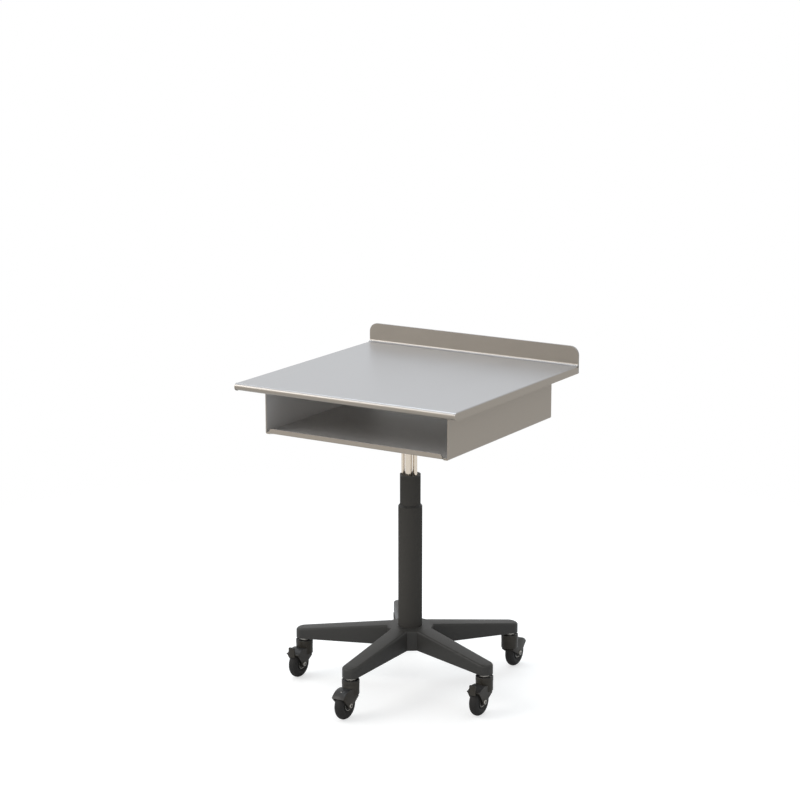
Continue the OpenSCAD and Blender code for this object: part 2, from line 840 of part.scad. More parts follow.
module fork(i, braked) {
    color("#3d3932") at_caster(i) difference() {
        union() {
            translate([0, 0, drum_z]) cylinder(h = drum_top - drum_z, r = drum_r);
            along(-leg_out, leg_out) {
                yoke_outline(braked ? brake_leg_deg : hood_deg, braked ? -10 : -40);
                if (braked) ear_outline();
            }
        }
        along(-leg_in, leg_in) {
            translate([trail, wheel_r]) circle(hood_r - hood_t);
            if (braked) polygon([
                on_ring(hood_r / 2, 0), on_ring(hood_r / 2, brake_hood_deg),
                on_ring(2 * hood_r, brake_hood_deg), on_ring(2 * hood_r, 0)
            ]);
        }
        intersection() {
            cylinder(h = drum_web_z, r = drum_r - drum_wall);
            translate([-drum_r, -leg_in, 0]) cube([2 * drum_r, 2 * leg_in, drum_web_z + cut]);
        }
        cylinder(h = drum_top + cut, r = stem_r + run_gap);
        translate([trail, 0, wheel_r]) rotate([90, 0, 0]) {
            cylinder(h = 2 * leg_out + 2 * cut, r = axle_r, center = true);
            for (s = [0, 1]) mirror([0, 0, s]) translate([0, 0, leg_out - axle_recess])
                cylinder(h = axle_recess + cut, r = axle_nut_r + stud_gap);
        }
        if (braked) translate([pedal_x, 0, pedal_z]) rotate([90, 0, 0])
            cylinder(h = 2 * leg_out + 2 * cut, r = pedal_pin_r + run_gap, center = true);
    }
}

module bearing_cap(i) {
    color("#35332f") at_caster(i) rotate_extrude() difference() {
        union() {
            translate([stem_r + 2 * pass_gap, drum_top])
                square([cap_r - cap_edge_r - stem_r - 2 * pass_gap, cap_top - drum_top]);
            translate([cap_r - cap_edge_r, drum_top + cap_edge_r / 2])
                square([cap_edge_r, cap_top - drum_top - 1.5 * cap_edge_r]);
            translate([cap_r - cap_edge_r, cap_top - cap_edge_r]) bend(cap_edge_r, cap_edge_r, 1, 1);
            translate([cap_r - cap_edge_r, drum_top]) square([cap_edge_r / 2, cap_edge_r]);
            translate([cap_r - cap_edge_r / 2, drum_top + cap_edge_r / 2]) circle(cap_edge_r / 2);
        }
        translate([stem_r, drum_top - cut]) square([2 * pass_gap, cap_top]);
    }
}

module about_axle(i) {
    at_caster(i) translate([trail, 0, wheel_r]) rotate([90, 0, 0]) children();
}

module tyre(i) {
    color("#2e2e2c") about_axle(i) rotate_extrude() intersection() {
        translate([tyre_ring_r, 0]) circle(tyre_w);
        translate([core_r, -tyre_w]) square([wheel_r, 2 * tyre_w]);
    }
}

module wheel(i) {
    color("#383735") about_axle(i) difference() {
        rotate_extrude() polygon([
            [axle_r + pass_gap, -tyre_w], [core_face_r, -tyre_w], [core_r, -core_side],
            [core_r, core_side], [core_face_r, tyre_w], [axle_r + pass_gap, tyre_w]
        ]);
        for (s = [0, 1]) mirror([0, 0, s]) translate([0, 0, bearing_in])
            cylinder(h = tyre_w, r = bearing_r);
    }
}

module bearing(i) {
    color("#a9a69c") about_axle(i) for (s = [0, 1]) mirror([0, 0, s])
        translate([0, 0, bearing_in]) difference() {
            cylinder(h = bearing_out - bearing_in, r = bearing_r);
            translate([0, 0, -cut])
                cylinder(h = bearing_out - bearing_in + 2 * cut, r = axle_r + run_gap);
        }
}

module axle(i) {
    face = leg_out - axle_recess;
    color("#b4b0a6") about_axle(i) {
        cylinder(h = 2 * face, r = axle_r, center = true);
        for (s = [0, 1]) mirror([0, 0, s]) translate([0, 0, face])
            cylinder(h = axle_nut_h, r = axle_nut_r, $fn = 6);
    }
}

module brake(i) {
    color("#3a3a37") at_caster(i) {
        translate([pedal_x, 0, pedal_z]) rotate([90, 0, 0]) {
            cylinder(h = 2 * (leg_in - pass_gap), r = pedal_barrel_r, center = true);
            cylinder(h = 2 * leg_out, r = pedal_pin_r, center = true);
        }
        translate([pedal_x, -tab_w / 2, pedal_z - pedal_barrel_r])
            cube([tab_x - pedal_x + tab_t, tab_w, 2 * pedal_barrel_r]);
        translate([tab_x, -tab_w / 2, tab_z]) cube([tab_t, tab_w, tab_h]);
        translate([tab_x, -tab_w / 2, tab_z]) cube([tab_t + tab_t / 3, tab_w, tab_lip_h]);
    }
}

// Output

worktop();
back_panel();
shelf_side(-1);  // shelf_side_left
shelf_side(1);  // shelf_side_right
shelf_floor();
shelf_nuts();
mount_plate();
mount_nuts();
rod_block();
block_screws();
gas_rod();
release_pin();
guide_rods();
rod_foot();
release_lever();
lever_pivot();
gas_cylinder();
inner_tube();
inner_cap();
inner_foot();
outer_tube();
outer_collar();
base_star();
tube_plug();
column_bolt();
caster_stems();
fork(0, true);  // fork_left
bearing_cap(0);  // cap_left
tyre(0);  // tyre_left
wheel(0);  // wheel_left
bearing(0);  // bearing_left
axle(0);  // axle_left
fork(1, false);  // fork_front
bearing_cap(1);  // cap_front
tyre(1);  // tyre_front
wheel(1);  // wheel_front
bearing(1);  // bearing_front
axle(1);  // axle_front
fork(2, true);  // fork_right
bearing_cap(2);  // cap_right
tyre(2);  // tyre_right
wheel(2);  // wheel_right
bearing(2);  // bearing_right
axle(2);  // axle_right
fork(3, false);  // fork_rear_right
bearing_cap(3);  // cap_rear_right
tyre(3);  // tyre_rear_right
wheel(3);  // wheel_rear_right
bearing(3);  // bearing_rear_right
axle(3);  // axle_rear_right
fork(4, true);  // fork_rear_left
bearing_cap(4);  // cap_rear_left
tyre(4);  // tyre_rear_left
wheel(4);  // wheel_rear_left
bearing(4);  // bearing_rear_left
axle(4);  // axle_rear_left
brake(0);  // brake_left
brake(2);  // brake_right
brake(4);  // brake_rear_left
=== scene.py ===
import bpy
import bmesh
import json
import math
from mathutils import Matrix, Vector

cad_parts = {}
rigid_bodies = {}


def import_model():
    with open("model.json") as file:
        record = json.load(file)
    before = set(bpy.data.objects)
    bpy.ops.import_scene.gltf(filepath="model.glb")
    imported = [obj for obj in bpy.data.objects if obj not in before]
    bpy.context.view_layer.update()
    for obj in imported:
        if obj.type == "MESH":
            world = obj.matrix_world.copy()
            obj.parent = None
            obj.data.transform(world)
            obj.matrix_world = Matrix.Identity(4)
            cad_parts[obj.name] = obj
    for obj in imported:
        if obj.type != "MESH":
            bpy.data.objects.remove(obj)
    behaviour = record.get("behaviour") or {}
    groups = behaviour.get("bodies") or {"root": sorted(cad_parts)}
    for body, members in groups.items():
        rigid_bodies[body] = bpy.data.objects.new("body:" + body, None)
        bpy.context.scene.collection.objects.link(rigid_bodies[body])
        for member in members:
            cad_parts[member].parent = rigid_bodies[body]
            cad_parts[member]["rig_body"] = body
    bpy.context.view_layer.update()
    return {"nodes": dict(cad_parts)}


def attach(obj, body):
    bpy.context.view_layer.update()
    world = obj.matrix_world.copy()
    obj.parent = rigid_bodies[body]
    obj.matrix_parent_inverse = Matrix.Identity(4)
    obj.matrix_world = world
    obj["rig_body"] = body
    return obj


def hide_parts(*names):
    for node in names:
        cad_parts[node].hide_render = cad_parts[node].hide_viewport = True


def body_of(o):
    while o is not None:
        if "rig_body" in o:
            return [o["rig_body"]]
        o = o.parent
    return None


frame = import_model()
nodes = frame["nodes"]
scene = bpy.context.scene
scene.view_settings.view_transform = "Standard"
print("frame loaded,", len(nodes), "nodes")

mm = 0.001
axisY = 13.75 * mm  # the column stands this far behind the middle of the outer box

# camera and room

cameraSet = dict(place=(2.22102, -3.65758 + axisY, 1.55637), look=(-0.51010, 0.83108, -0.22159),
                 lens=100.62, sensor=36, reach=30)


def makeCamera():
    data = bpy.data.cameras.new("photoCamera")
    data.lens = cameraSet["lens"]
    data.sensor_width = cameraSet["sensor"]
    data.clip_end = cameraSet["reach"]
    camera = bpy.data.objects.new("photoCamera", data)
    camera.location = cameraSet["place"]
    camera.rotation_euler = Vector(cameraSet["look"]).to_track_quat("-Z", "Y").to_euler()
    scene.collection.objects.link(camera)
    scene.camera = camera


lightSet = dict(
    lamps=[  # name, place, aimed at, width, height, watts, colour
        ("softLeft", (-2.3, -2.2, 2.6), (0, 0, 0.45), 2.2, 1.8, 55, (1.0, 0.98, 0.96)),
        ("softTop", (-0.4, 0.5, 3.4), (0, 0, 0.3), 2.4, 2.4, 62, (0.84, 0.92, 1.0)),
        ("fillFront", (0.9, -3.3, 0.9), (0, 0, 0.45), 1.8, 1.2, 16, (1.0, 0.94, 0.87)),
    ],
    world=0.62, worldColour=(0.93, 0.96, 1.0, 1))


def makeLights():
    for name, place, aim, wide, high, watts, colour in lightSet["lamps"]:
        data = bpy.data.lights.new(name, "AREA")
        data.shape = "RECTANGLE"
        data.size = wide
        data.size_y = high
        data.energy = watts
        data.color = colour
        lamp = bpy.data.objects.new(name, data)
        lamp.location = place
        lamp.rotation_euler = (Vector(aim) - Vector(place)).to_track_quat("-Z", "Y").to_euler()
        scene.collection.objects.link(lamp)
    world = bpy.data.worlds.new("whiteRoom")
    scene.world = world
    world.use_nodes = True
    tree = world.node_tree
    tree.nodes.clear()
    out = tree.nodes.new("ShaderNodeOutputWorld")
    mix = tree.nodes.new("ShaderNodeMixShader")
    room = tree.nodes.new("ShaderNodeBackground")
    white = tree.nodes.new("ShaderNodeBackground")
    path = tree.nodes.new("ShaderNodeLightPath")
    either = tree.nodes.new("ShaderNodeMath")
    either.operation = "MAXIMUM"
    seen = tree.nodes.new("ShaderNodeMath")
    seen.operation = "MAXIMUM"
    room.inputs["Color"].default_value = lightSet["worldColour"]
    room.inputs["Strength"].default_value = lightSet["world"]
    white.inputs["Color"].default_value = (1, 1, 1, 1)
    white.inputs["Strength"].default_value = 1
    tree.links.new(path.outputs["Is Camera Ray"], either.inputs[0])
    tree.links.new(path.outputs["Is Glossy Ray"], either.inputs[1])
    tree.links.new(either.outputs[0], seen.inputs[0])
    tree.links.new(path.outputs["Is Transmission Ray"], seen.inputs[1])
    tree.links.new(seen.outputs[0], mix.inputs[0])
    tree.links.new(room.outputs[0], mix.inputs[1])
    tree.links.new(white.outputs[0], mix.inputs[2])
    tree.links.new(mix.outputs[0], out.inputs[0])


# seen from the camera the floor glows to white, and it fades out between two reaches
floorSet = dict(size=9.0, colour=(0.80, 0.80, 0.80, 1), seen=(0.55, 0.55, 0.54, 1),
                solidTo=0.75, clearFrom=1.7, glow=0.60)


def makeFloor():
    bpy.ops.object.select_all(action="DESELECT")
    bpy.ops.mesh.primitive_plane_add(size=floorSet["size"], location=(0, 0, 0))
    floor = bpy.context.object
    floor.name = "floor"
    mat = bpy.data.materials.new("paleFloor")
    mat.use_nodes = True
    tree = mat.node_tree
    tree.nodes.clear()
    out = tree.nodes.new("ShaderNodeOutputMaterial")
    matt = tree.nodes.new("ShaderNodeBsdfDiffuse")
    tint = tree.nodes.new("ShaderNodeMix")
    tint.data_type = "RGBA"
    tint.inputs["A"].default_value = floorSet["colour"]
    tint.inputs["B"].default_value = floorSet["seen"]
    glow = tree.nodes.new("ShaderNodeEmission")
    path = tree.nodes.new("ShaderNodeLightPath")
    lift = tree.nodes.new("ShaderNodeMath")
    lift.operation = "MULTIPLY"
    lift.inputs[1].default_value = floorSet["glow"]
    both = tree.nodes.new("ShaderNodeAddShader")
    clear = tree.nodes.new("ShaderNodeBsdfTransparent")
    coord = tree.nodes.new("ShaderNodeTexCoord")
    reach = tree.nodes.new("ShaderNodeVectorMath")
    reach.operation = "LENGTH"
    fade = tree.nodes.new("ShaderNodeMapRange")
    fade.inputs["From Min"].default_value = floorSet["solidTo"]
    fade.inputs["From Max"].default_value = floorSet["clearFrom"]
    mix = tree.nodes.new("ShaderNodeMixShader")
    links = tree.links
    links.new(path.outputs["Is Camera Ray"], lift.inputs[0])
    links.new(path.outputs["Is Camera Ray"], tint.inputs["Factor"])
    links.new(tint.outputs["Result"], matt.inputs["Color"])
    links.new(lift.outputs[0], glow.inputs["Strength"])
    links.new(matt.outputs[0], both.inputs[0])
    links.new(glow.outputs[0], both.inputs[1])
    links.new(coord.outputs["Object"], reach.inputs[0])
    links.new(reach.outputs["Value"], fade.inputs["Value"])
    links.new(fade.outputs[0], mix.inputs[0])
    links.new(both.outputs[0], mix.inputs[1])
    links.new(clear.outputs[0], mix.inputs[2])
    links.new(mix.outputs[0], out.inputs[0])
    floor.data.materials.append(mat)


# finishes

# the first two values are the upward leans of a face between which a finish's painted side shade turns into
# its painted sky reflection
finishSet = dict(paintedShadeSideTo=0.2, paintedLightUpFrom=0.95, bumpDeep=0.0004, cloudDetail=4, grainDetail=3, patch=14)


def finish(name, colour, roughness, metallic=0.0, spread=0.05, grain=900, bump=0.02, sheen=0.04,
           specular=0.5, stretch=(1, 1, 1), up=(1, 1, 1), side=(1, 1, 1)):
    mat = bpy.data.materials.new(name)
    mat.use_nodes = True
    tree = mat.node_tree
    shader = tree.nodes["Principled BSDF"]
    shader.inputs["Metallic"].default_value = metallic
    shader.inputs["Specular IOR Level"].default_value = specular
    coord = tree.nodes.new("ShaderNodeTexCoord")
    place = tree.nodes.new("ShaderNodeMapping")
    place.inputs["Scale"].default_value = stretch
    cloud = tree.nodes.new("ShaderNodeTexNoise")
    cloud.inputs["Scale"].default_value = finishSet["patch"]
    cloud.inputs["Detail"].default_value = finishSet["cloudDetail"]
    tone = tree.nodes.new("ShaderNodeMix")
    tone.data_type = "RGBA"
    low = [c * (1 - spread) for c in colour]
    high = [min(1.0, c * (1 + spread)) for c in colour]
    tone.inputs["A"].default_value = (*low, 1)
    tone.inputs["B"].default_value = (*high, 1)
    fine = tree.nodes.new("ShaderNodeTexNoise")
    fine.inputs["Scale"].default_value = grain
    fine.inputs["Detail"].default_value = finishSet["grainDetail"]
    gloss = tree.nodes.new("ShaderNodeMapRange")
    gloss.inputs["To Min"].default_value = roughness - sheen
    gloss.inputs["To Max"].default_value = roughness + sheen
    rough = tree.nodes.new("ShaderNodeBump")
    rough.inputs["Strength"].default_value = bump
    rough.inputs["Distance"].default_value = finishSet["bumpDeep"]
    links = tree.links
    links.new(coord.outputs["Object"], place.inputs["Vector"])
    links.new(place.outputs[0], cloud.inputs["Vector"])
    links.new(place.outputs[0], fine.inputs["Vector"])
    links.new(cloud.outputs["Fac"], tone.inputs["Factor"])
    # painted light and shade: the colour of faces that look up is multiplied by a painted sky reflection, and
    # that of faces that look sideways or down by a painted room shade
    parts = tree.nodes.new("ShaderNodeSeparateXYZ")
    paintedLightByFacing = tree.nodes.new("ShaderNodeMapRange")
    paintedLightByFacing.inputs["From Min"].default_value = finishSet["paintedShadeSideTo"]
    paintedLightByFacing.inputs["From Max"].default_value = finishSet["paintedLightUpFrom"]
    tint = tree.nodes.new("ShaderNodeMix")
    tint.data_type = "RGBA"
    tint.inputs["A"].default_value = (*side, 1)
    tint.inputs["B"].default_value = (*up, 1)
    paintedLightTinted = tree.nodes.new("ShaderNodeMix")
    paintedLightTinted.data_type = "RGBA"
    paintedLightTinted.blend_type = "MULTIPLY"
    paintedLightTinted.inputs["Factor"].default_value = 1
    links.new(coord.outputs["Normal"], parts.inputs[0])
    links.new(parts.outputs["Z"], paintedLightByFacing.inputs["Value"])
    links.new(paintedLightByFacing.outputs[0], tint.inputs["Factor"])
    links.new(tone.outputs["Result"], paintedLightTinted.inputs["A"])
    links.new(tint.outputs["Result"], paintedLightTinted.inputs["B"])
    links.new(paintedLightTinted.outputs["Result"], shader.inputs["Base Color"])
    links.new(cloud.outputs["Fac"], gloss.inputs["Value"])
    links.new(gloss.outputs[0], shader.inputs["Roughness"])
    links.new(fine.outputs["Fac"], rough.inputs["Height"])
    links.new(rough.outputs[0], shader.inputs["Normal"])
    return mat


# the worktop's faces that look up get a painted sky reflection, lighter and bluer, and its sides a painted
# shade, darker and browner
topPaint = finish("topPaint", (0.37, 0.352, 0.33), 0.34, metallic=0.7, spread=0.03, grain=2600,
                  bump=0.10, sheen=0.03, up=(1.04, 1.09, 1.18), side=(0.78, 0.73, 0.66))
# the back panel is the worktop's steel painted darker: painted shade and painted dark reflection on the
# upstand
panelPaintedShade = finish("panelPaintedShade", (0.19, 0.185, 0.18), 0.36, metallic=0.7, spread=0.03, grain=2600,
                    bump=0.10, sheen=0.03)
# the shelf's faces that look sideways or down get a painted shade, darker and browner
shelfPaint = finish("shelfPaint", (0.42, 0.395, 0.365), 0.40, metallic=0.4, spread=0.04, grain=2600,
                    bump=0.10, side=(0.74, 0.69, 0.62))
# a paler copy of the shelf's paint for the faces that look into the shelf: painted light
insidePaintedLight = finish("insidePaintedLight", (0.55, 0.54, 0.53), 0.5, metallic=0.1, spread=0.04, grain=2600,
                     bump=0.10)
blackPaint = finish("blackPaint", (0.035, 0.034, 0.032), 0.5, spread=0.08, grain=1800, bump=0.15,
                    specular=0.25)
tubePaint = finish("tubePaint", (0.056, 0.053, 0.048), 0.62, spread=0.06, grain=2200, bump=0.10,
                   specular=0.02)
basePaint = finish("basePaint", (0.040, 0.0388, 0.036), 0.46, spread=0.08, grain=2000, bump=0.18,
                   specular=0.22)
brightRod = finish("brightRod", (0.66, 0.59, 0.50), 0.2, metallic=1.0, spread=0.03, grain=60,
                   bump=0.02, stretch=(40, 40, 1))
zincPlate = finish("zincPlate", (0.50, 0.48, 0.44), 0.34, metallic=1.0, spread=0.08, grain=700, bump=0.08)
glidePlastic = finish("glidePlastic", (0.035, 0.034, 0.032), 0.5, spread=0.06, grain=1600, bump=0.1,
                      specular=0.25)
# the yokes' faces that look up get a painted bluish sky reflection, and their sides a painted warm shade
yokePlastic = finish("yokePlastic", (0.030, 0.028, 0.025), 0.34, spread=0.07, grain=1500, bump=0.12,
                     specular=0.26, up=(0.95, 1.0, 1.12), side=(1, 0.93, 0.8))
wheelPlastic = finish("wheelPlastic", (0.022, 0.021, 0.019), 0.5, spread=0.08, grain=1300, bump=0.2,
                      specular=0.25)
tyreRubber = finish("tyreRubber", (0.018, 0.017, 0.016), 0.58, spread=0.10, grain=1100, bump=0.25,
                    specular=0.22)

finishes = dict(top_paint=topPaint, shelf_paint=shelfPaint, black_paint=blackPaint, tube_paint=tubePaint,
                base_paint=basePaint, bright_rod=brightRod, zinc=zincPlate, glide_plastic=glidePlastic,
                yoke_plastic=yokePlastic, wheel_plastic=wheelPlastic, tyre=tyreRubber)


def paintNodes():
    for name, piece in nodes.items():
        for place in piece.material_slots:
            slotName = place.material.name.split(".")[0] if place.material else ""
            if slotName in finishes:
                place.material = finishes[slotName]
            else:
                print("no finish for", name, slotName)


# hand tools

weld = dict(made=0.000005, packed=0.000002, cut=0.00002, flat=0.3, cutFlat=0.5)  # metres, and degrees


def clearPick():
    if bpy.context.object and bpy.context.object.mode != "OBJECT":
        bpy.ops.object.mode_set(mode="OBJECT")
    bpy.ops.object.select_all(action="DESELECT")


def hold(piece):
    clearPick()
    piece.select_set(True)
    bpy.context.view_layer.objects.active = piece


def openPiece(piece, everything=False):
    hold(piece)
    bpy.ops.object.mode_set(mode="EDIT")
    bpy.ops.mesh.select_all(action="SELECT" if everything else "DESELECT")


def closePiece():
    bpy.ops.object.mode_set(mode="OBJECT")


def pickFaces(piece, test):
    bpy.ops.mesh.select_mode(type="FACE")
    bpy.ops.mesh.select_all(action="DESELECT")
    mesh = bmesh.from_edit_mesh(piece.data)
    for face in [f for f in mesh.faces if test(f.calc_center_median(), f.normal)]:
        face.select_set(True)
    bmesh.update_edit_mesh(piece.data)


def pickEdges(piece, test):
    bpy.ops.mesh.select_mode(type="EDGE")
    bpy.ops.mesh.select_all(action="DESELECT")
    mesh = bmesh.from_edit_mesh(piece.data)
    for edge in [e for e in mesh.edges if test(e.verts[0].co, e.verts[1].co)]:
        edge.select_set(True)
    bmesh.update_edit_mesh(piece.data)


def pickVerts(piece, test):
    bpy.ops.mesh.select_mode(type="VERT")
    bpy.ops.mesh.select_all(action="DESELECT")
    mesh = bmesh.from_edit_mesh(piece.data)
    for vert in [v for v in mesh.verts if test(v.co)]:
        vert.select_set(True)
    mesh.select_flush(True)
    bmesh.update_edit_mesh(piece.data)


def shape(piece, kind, **settings):
    hold(piece)
    bpy.ops.object.modifier_add(type=kind)
    extra = piece.modifiers[-1]
    for key, value in settings.items():
        setattr(extra, key, value)
    bpy.ops.object.modifier_apply(modifier=extra.name)


def ease(piece, width, steps, angle=40):
    shape(piece, "BEVEL", width=width * mm, segments=steps, limit_method="ANGLE",
          angle_limit=math.radians(angle), use_clamp_overlap=True)


def settle(piece):
    hold(piece)
    bpy.ops.object.transform_apply(location=True, rotation=True, scale=True)


def smooth(piece, angle=35):
    hold(piece)
    bpy.ops.object.shade_smooth_by_angle(angle=math.radians(angle))


def giveMaterials(piece, *materials):
    piece.data.materials.clear()
    for material in materials:
        piece.data.materials.append(material)


def assignSlot(piece, index):
    piece.active_material_index = index
    bpy.ops.object.material_slot_assign()


def outward(piece):
    openPiece(piece, everything=True)
    bpy.ops.mesh.remove_doubles(threshold=weld["made"])
    bpy.ops.mesh.normals_make_consistent(inside=False)
    closePiece()


def dress(piece, material, body, slotName, *replaced):
    giveMaterials(piece, material)
    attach(piece, body)
    if replaced:
        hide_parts(*replaced)
    return piece


sharpAngle = 32


# a merged copy of a folded or moulded part, with its edges eased
def easedCopy(node, name, width, material, slotName):
    source = nodes[node]
    piece = bpy.data.objects.new(name, source.data.copy())
    scene.collection.objects.link(piece)
    hold(piece)
    bpy.ops.mesh.customdata_custom_splitnormals_clear()
    openPiece(piece, everything=True)
    bpy.ops.mesh.remove_doubles(threshold=weld["packed"])
    bpy.ops.mesh.dissolve_limited(angle_limit=math.radians(weld["flat"]))
    closePiece()
    ease(piece, width, 2, sharpAngle)
    smooth(piece, sharpAngle)
    shape(piece, "WEIGHTED_NORMAL", keep_sharp=True, weight=100)
    return dress(piece, material, body_of(source)[0], slotName, node)


def drumPart(radius, low, high, at=(0, 0), sides=72, axis="Z", name="part"):
    clearPick()
    turn = (math.pi / 2, 0, 0) if axis == "Y" else (0, 0, 0)
    middle = (low + high) / 2
    place = (at[0], middle, at[1]) if axis == "Y" else (at[0], at[1], middle)
    bpy.ops.mesh.primitive_cylinder_add(vertices=sides, radius=radius * mm, depth=(high - low) * mm,
                                        location=[v * mm for v in place], rotation=turn)
    part = bpy.context.object
    part.name = name
    settle(part)
    return part


def combine(main, other, how):
    shape(main, "BOOLEAN", object=other, operation=how, solver="EXACT")
    bpy.data.objects.remove(other)


paintNodes()
makeCamera()
makeLights()
makeFloor()
print("room and finishes ready")

# sheet metal: the width of the eased edges, the finish and its slot

easing = dict(worktop=(0.45, topPaint, "top_paint"), back_panel=(0.6, panelPaintedShade, "top_paint"),
              shelf_side_left=(0.35, shelfPaint, "shelf_paint"),
              shelf_side_right=(0.35, shelfPaint, "shelf_paint"),
              shelf_floor=(0.4, shelfPaint, "shelf_paint"), shelf_nuts=(0.2, zincPlate, "zinc"))
for node, (width, paint, slotName) in easing.items():
    easedCopy(node, "dressed" + node.title().replace("_", ""), width, paint, slotName)

# the faces that look into the shelf take the paler inside paint, painted light
paintedLightReach = 204  # what looks into the shelf lies within this distance of the middle
for node, paintedLightFaces in (("ShelfSideLeft", lambda n: n.x > 0.5), ("ShelfSideRight", lambda n: n.x < -0.5),
                     ("ShelfFloor", lambda n: n.z > 0.9)):
    sheetPiece = bpy.data.objects["dressed" + node]
    sheetPiece.data.materials.append(insidePaintedLight)
    openPiece(sheetPiece)
    pickFaces(sheetPiece, lambda c, n: paintedLightFaces(n) and abs(c.x) < paintedLightReach * mm)
    assignSlot(sheetPiece, 1)
    closePiece()

# the studs and nuts under the shelf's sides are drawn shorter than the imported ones, out of sight
lowStuds = dict(side=180, under=532.1, seat=532.2, share=0.6)
for node in ("ShelfFloor", "ShelfNuts"):
    lowPiece = bpy.data.objects["dressed" + node]
    openPiece(lowPiece)
    pickVerts(lowPiece, lambda v: abs(v.x) > lowStuds["side"] * mm and v.z < lowStuds["under"] * mm)
    bpy.ops.transform.resize(value=(1, 1, lowStuds["share"]), center_override=(0, 0, lowStuds["seat"] * mm))
    closePiece()
print("sheet metal dressed")

# base

baseSet = dict(flat=46.5, armHalf=19.3, tipHalf=16.1, reach=237, top=122.5, under=82, tipTop=98.6,
               tipUnder=79, slopeFrom=46, edge=4.3, edgeSteps=5, tipRound=15, tipSteps=9, wall=3.6,
               ribUnder=84, ribThick=3, spine=(50, 220), spineHigh=12, ribWide=34, ribHigh=16,
               ribs=(72, 122, 172), bossAt=221, bossRound=12, bossHigh=13, bore=23.6, boreOver=2,
               sleeve=30, sleeveUnder=2)
baseTurn = 36  # half the angle between two arms


def makeBase():
    b = baseSet
    corner = b["flat"] / math.cos(math.radians(baseTurn))
    lean = math.radians(90 - baseTurn)
    clearPick()
    bpy.ops.mesh.primitive_cylinder_add(vertices=5, radius=corner * mm, depth=(b["top"] - b["under"]) * mm,
                                        location=(0, 0, (b["top"] + b["under"]) / 2 * mm))
    star = bpy.context.object
    star.name = "baseStar"
    settle(star)
    openPiece(star)  # the upright corners are cut to the width of an arm
    pickEdges(star, lambda p, q: abs(p.z - q.z) > b["wall"] * mm)
    bpy.ops.mesh.bevel(offset=b["armHalf"] / math.sin(lean) * mm, segments=1)
    closePiece()
    rootOut = corner - b["armHalf"] / math.tan(lean)
    middle = (b["top"] + b["under"]) / 2 * mm
    atTip = lambda v: v.y > (b["reach"] - 2 * b["wall"]) * mm
    for turn in range(5):  # each arm is drawn out to its tip, then the star is turned
        openPiece(star)
        pickFaces(star, lambda c, n: n.y > 0.999)
        bpy.ops.mesh.extrude_region_move(
            TRANSFORM_OT_translate={"value": (0, (b["slopeFrom"] - rootOut) * mm, 0)})
        bpy.ops.mesh.extrude_region_move(
            TRANSFORM_OT_translate={"value": (0, (b["reach"] - b["slopeFrom"]) * mm, 0)})
        bpy.ops.transform.resize(value=(b["tipHalf"] / b["armHalf"], 1, 1), center_override=(0, 0, 0))
        pickVerts(star, lambda v: atTip(v) and v.z > middle)
        bpy.ops.transform.translate(value=(0, 0, (b["tipTop"] - b["top"]) * mm))
        pickVerts(star, lambda v: atTip(v) and v.z < b["ribUnder"] * mm)
        bpy.ops.transform.translate(value=(0, 0, (b["tipUnder"] - b["under"]) * mm))
        closePiece()
        star.data.transform(Matrix.Rotation(math.radians(2 * baseTurn), 4, "Z"))
    far = lambda v: math.hypot(v.x, v.y) > b["ribs"][-1] * mm
    openPiece(star)
    pickEdges(star, lambda p, q: far(p) and far(q) and abs(p.z - q.z) > b["tipRound"] * mm)
    bpy.ops.mesh.bevel(offset=b["tipRound"] * mm, segments=b["tipSteps"])
    pickFaces(star, lambda c, n: n.z > 0.9)
    bpy.ops.mesh.region_to_loop()
    bpy.ops.mesh.bevel(offset=b["edge"] * mm, segments=b["edgeSteps"])
    pickFaces(star, lambda c, n: n.z < -0.9)
    bpy.ops.mesh.delete(type="FACE")
    closePiece()
    outward(star)
    shape(star, "SOLIDIFY", thickness=b["wall"] * mm, offset=-1, use_even_offset=True)
    sleeve = drumPart(b["sleeve"], b["ribUnder"], b["top"] - b["sleeveUnder"])
    for bored in (star, sleeve):
        bore = drumPart(b["bore"], b["under"] - b["boreOver"], b["top"] + b["boreOver"])
        combine(bored, bore, "DIFFERENCE")
    ribs = [sleeve]
    root, end = b["spine"]
    plan = [((b["ribThick"], end - root, b["spineHigh"]), (root + end) / 2)]
    plan += [((b["ribWide"], b["ribThick"], b["ribHigh"]), out) for out in b["ribs"]]
    for turn in range(5):  # ribs and the socket of each caster's stem, seen from below
        spin = Matrix.Rotation(math.radians(2 * baseTurn * turn), 4, "Z")
        for size, out in plan:
            place = (0, out, b["ribUnder"] + size[2] / 2)
            bpy.ops.mesh.primitive_cube_add(size=1, location=[v * mm for v in place])
            rib = bpy.context.object
            rib.scale = [v * mm for v in size]
            settle(rib)
            rib.data.transform(spin)
            ribs.append(rib)
        boss = drumPart(b["bossRound"], b["tipUnder"], b["tipUnder"] + b["bossHigh"], (0, b["bossAt"]), 40)
        boss.data.transform(spin)
        ribs.append(boss)
    hold(star)
    for rib in ribs:
        rib.select_set(True)
    bpy.ops.object.join()
    star.data.transform(Matrix.Translation((0, axisY, 0)) @ Matrix.Rotation(math.pi, 4, "Z"))
    smooth(star, 30)
    return dress(star, basePaint, "base", "base_paint", "base_star")


makeBase()
print("base modelled")

# casters, modelled with the stem at the origin and the wheel trailing towards +X; each has its
# arm's direction, the direction in which it trails, and whether it has a brake

casterSet = dict(ring=221, trail=21.2, axle=29,
                 places=dict(left=(198, 270, True), front=(270, 270, False), right=(342, 270, True),
                             rear_right=(54, 90, False), rear_left=(126, 270, True)))


